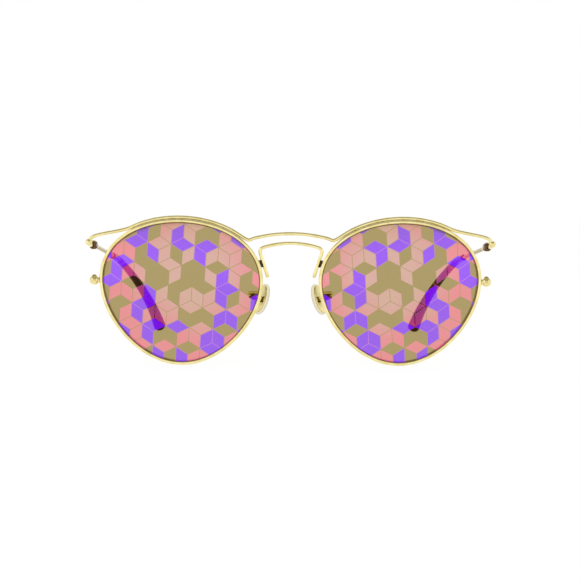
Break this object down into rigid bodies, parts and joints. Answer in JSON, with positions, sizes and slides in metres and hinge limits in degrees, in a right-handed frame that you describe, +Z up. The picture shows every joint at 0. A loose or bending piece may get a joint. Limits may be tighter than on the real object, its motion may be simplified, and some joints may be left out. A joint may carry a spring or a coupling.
{
  "type": "mirrored sunglasses",
  "caption": "Round wire sunglasses with patterned mirror lenses, a brow wire over a separate bridge wire, adjustable nose pads and folding temples with tortoise tips.",
  "frame": {"origin": "on the ground under the middle of the frame's bounding box, with the temples open", "axes": "+X is the wearer's left, +Y from the front to the ear ends, +Z up"},
  "size_m": [0.136, 0.1354, 0.0494],
  "materials": {
    "gold_frame": "polished pale gold",
    "gold_screw": "polished pale gold, slotted head",
    "brazed_post": "darker brazed gold",
    "mirror_lens": "olive tinted lens with a violet and pink mirror coating in diamond tiles",
    "tortoise_tip": "polished tortoise acetate",
    "clear_pad": "clear soft silicone"
  },
  "bodies": {
    "front": {"rim_left": "gold_frame", "rim_right": "gold_frame", "lens_left": "mirror_lens", "lens_right": "mirror_lens", "closing_bead_upper_left": "gold_frame", "closing_bead_upper_right": "gold_frame", "closing_bead_lower_left": "gold_frame", "closing_bead_lower_right": "gold_frame", "closing_screw_left": "gold_screw", "closing_screw_right": "gold_screw", "brow_wire": "gold_frame", "bridge_wire": "gold_frame", "bridge_post_left": "brazed_post", "bridge_post_right": "brazed_post", "pad_arm_left": "gold_frame", "pad_arm_right": "gold_frame", "pad_box_left": "gold_frame", "pad_box_right": "gold_frame", "pad_screw_left": "gold_screw", "pad_screw_right": "gold_screw", "hinge_front_left": "gold_frame", "hinge_front_right": "gold_frame", "hinge_screw_left": "gold_screw", "hinge_screw_right": "gold_screw"},
    "left_temple": {"hinge_temple_left": "gold_frame", "temple_wire_left": "gold_frame", "temple_tip_left": "tortoise_tip"},
    "right_temple": {"hinge_temple_right": "gold_frame", "temple_wire_right": "gold_frame", "temple_tip_right": "tortoise_tip"},
    "left_pad": {"nose_pad_left": "clear_pad", "pad_insert_left": "gold_frame"},
    "right_pad": {"nose_pad_right": "clear_pad", "pad_insert_right": "gold_frame"}
  },
  "joints": [
    {"name": "left_temple_fold", "type": "hinge", "parent": "front", "child": "left_temple", "pos_m": [0.0659, -0.05492, 0.0391], "axis": [0, 0, 1], "range_deg": [0, 85]},
    {"name": "right_temple_fold", "type": "hinge", "parent": "front", "child": "right_temple", "pos_m": [-0.0659, -0.05492, 0.0391], "axis": [0, 0, -1], "range_deg": [0, 78]},
    {"name": "left_pad_rock", "type": "hinge", "parent": "front", "child": "left_pad", "pos_m": [0.01179, -0.05807, 0.02234], "axis": [0.5, 0.866, 0], "range_deg": [-8, 8]},
    {"name": "right_pad_rock", "type": "hinge", "parent": "front", "child": "right_pad", "pos_m": [-0.01179, -0.05807, 0.02234], "axis": [0.5, -0.866, 0], "range_deg": [-8, 8]}
  ]
}
